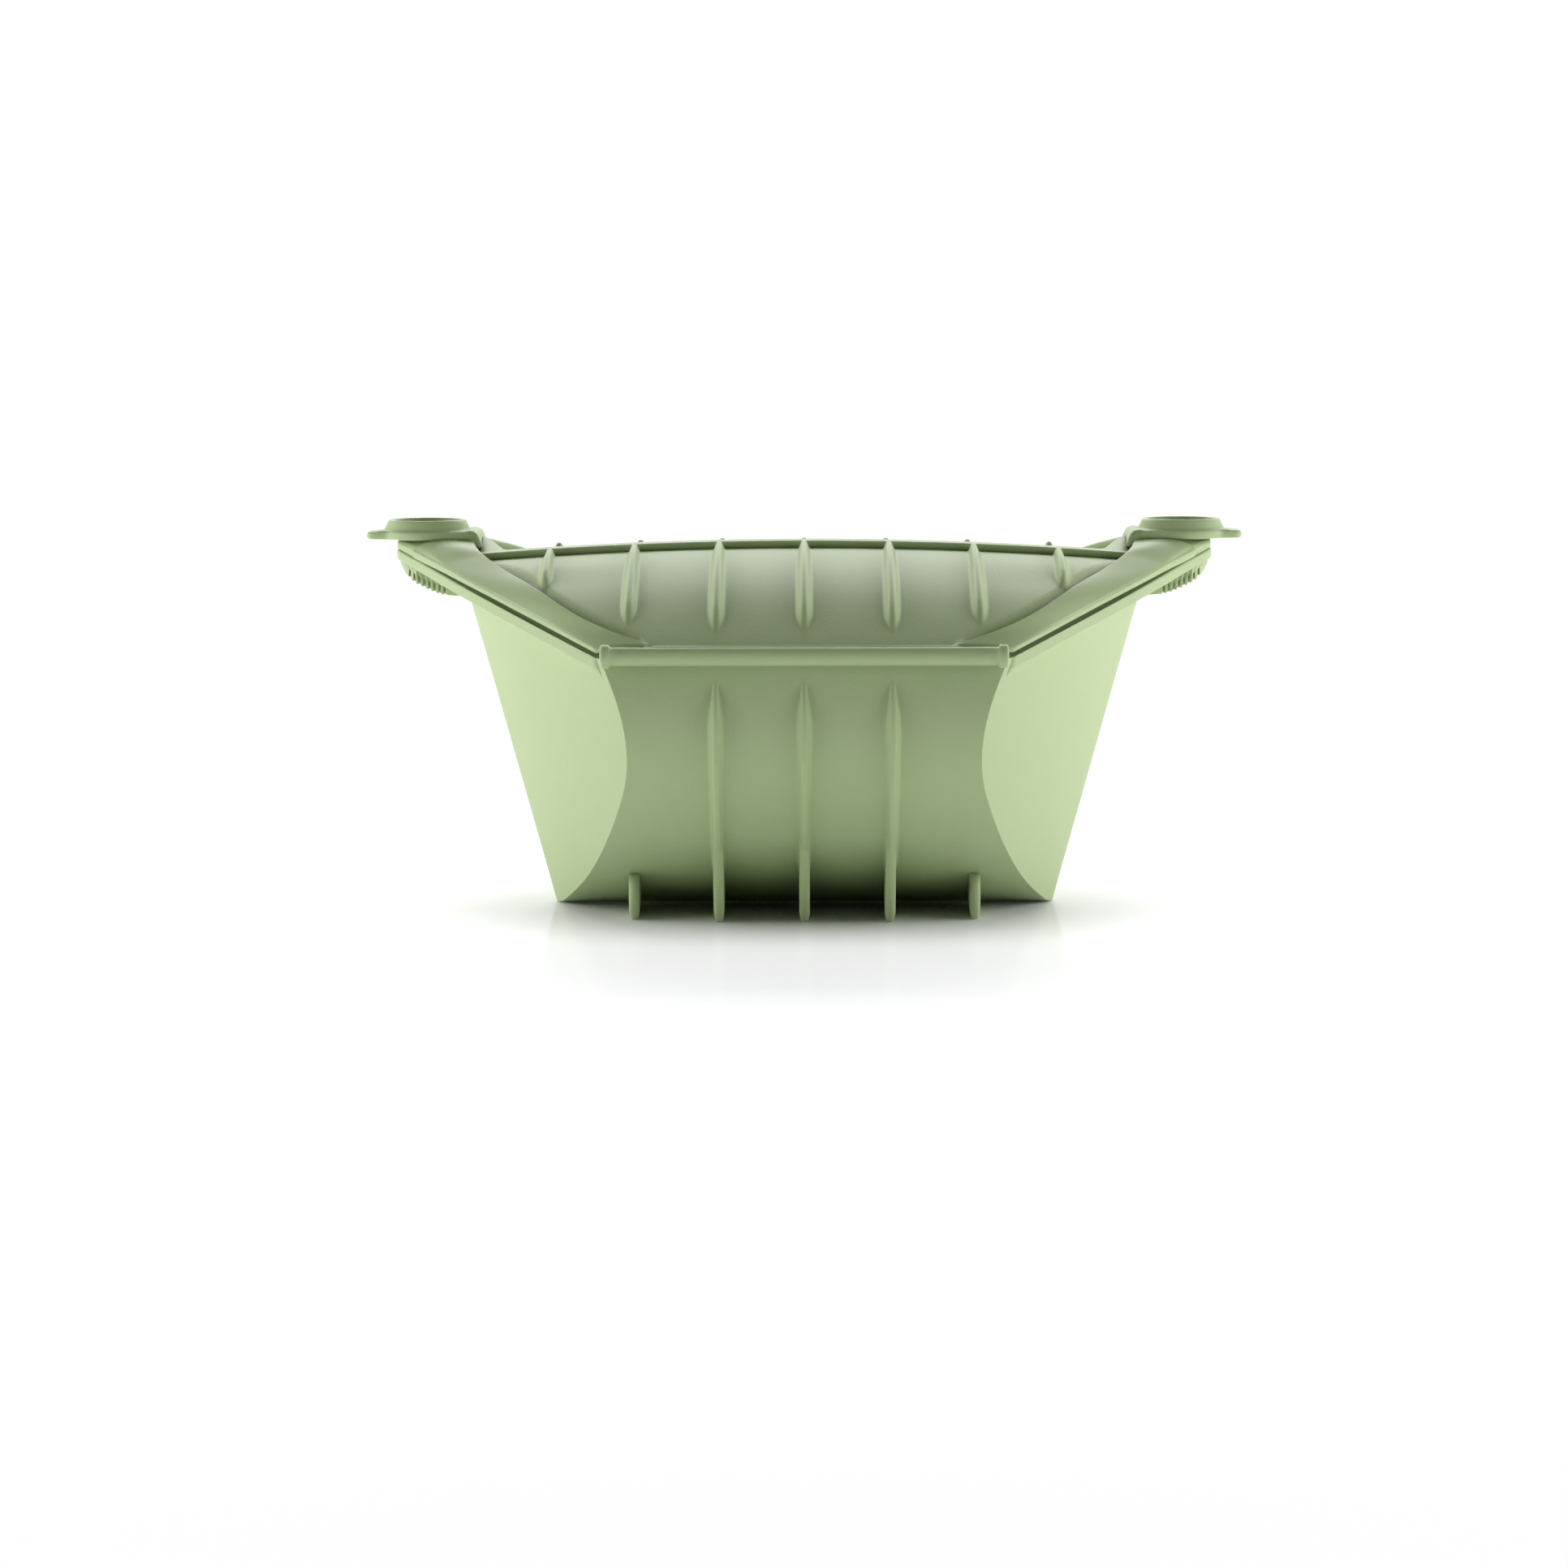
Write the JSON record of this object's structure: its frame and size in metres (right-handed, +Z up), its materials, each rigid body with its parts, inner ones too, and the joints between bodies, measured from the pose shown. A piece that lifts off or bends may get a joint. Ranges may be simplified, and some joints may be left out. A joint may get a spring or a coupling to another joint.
{
  "type": "steam cooking case",
  "caption": "Deep silicone steam case: a ribbed boat-shaped tub with two hinged lid flaps that overlap and snap together at the end grips, with a draining tray inside.",
  "frame": {"origin": "on the floor, under the middle of the tub", "axes": "+X along the hinges towards the right-hand end grip, +Y from the front flap's hinge to the rear flap's hinge, +Z up"},
  "size_m": [0.2688, 0.2068, 0.1185],
  "materials": {
    "tub_silicone": "satin",
    "lid_silicone": "fine matte grain",
    "tray_plastic": "satin"
  },
  "bodies": {
    "tub": {"tub_shell": "tub_silicone", "right_end_flange": "tub_silicone", "left_end_flange": "tub_silicone", "right_grip_pad": "tub_silicone", "left_grip_pad": "tub_silicone", "front_hinge_bar": "tub_silicone", "rear_hinge_bar": "tub_silicone", "front_wall_ribs": "tub_silicone", "rear_wall_ribs": "tub_silicone", "front_foot_1": "tub_silicone", "rear_foot_1": "tub_silicone", "front_foot_2": "tub_silicone", "rear_foot_2": "tub_silicone", "front_foot_3": "tub_silicone", "rear_foot_3": "tub_silicone", "front_foot_4": "tub_silicone", "rear_foot_4": "tub_silicone", "front_foot_5": "tub_silicone", "rear_foot_5": "tub_silicone"},
    "front_flap": {"front_flap_panel": "lid_silicone", "front_flap_ribs": "lid_silicone", "right_front_band": "lid_silicone", "left_front_band": "lid_silicone", "right_front_tip": "lid_silicone", "left_front_tip": "lid_silicone", "right_latch_button": "lid_silicone", "left_latch_button": "lid_silicone"},
    "rear_flap": {"rear_flap_panel": "lid_silicone", "rear_flap_ribs": "lid_silicone", "right_rear_band": "lid_silicone", "left_rear_band": "lid_silicone", "rear_flap_margin": "lid_silicone", "rear_flap_lip": "lid_silicone", "right_latch_plate": "lid_silicone", "right_latch_ring": "lid_silicone", "right_pull_tab": "lid_silicone", "right_latch_step": "lid_silicone", "left_latch_plate": "lid_silicone", "left_latch_ring": "lid_silicone", "left_pull_tab": "lid_silicone", "left_latch_step": "lid_silicone"},
    "tray": {"drain_tray": "tray_plastic"}
  },
  "joints": [
    {"name": "front_flap_hinge", "type": "hinge", "parent": "tub", "child": "front_flap", "pos_m": [0, -0.1, 0.0838], "axis": [1, 0, 0], "range_deg": [0, 165], "deforming": ["rear_flap_margin", "rear_flap_lip", "right_latch_plate", "right_latch_ring", "right_pull_tab", "right_latch_step", "left_latch_plate", "left_latch_ring", "left_pull_tab", "left_latch_step"]},
    {"name": "rear_flap_hinge", "type": "hinge", "parent": "tub", "child": "rear_flap", "pos_m": [0, 0.1, 0.0838], "axis": [-1, 0, 0], "range_deg": [0, 165]},
    {"name": "tray_lift", "type": "slide", "parent": "tub", "child": "tray", "axis": [0, 0, 1], "range_m": [0, 0.05]}
  ]
}
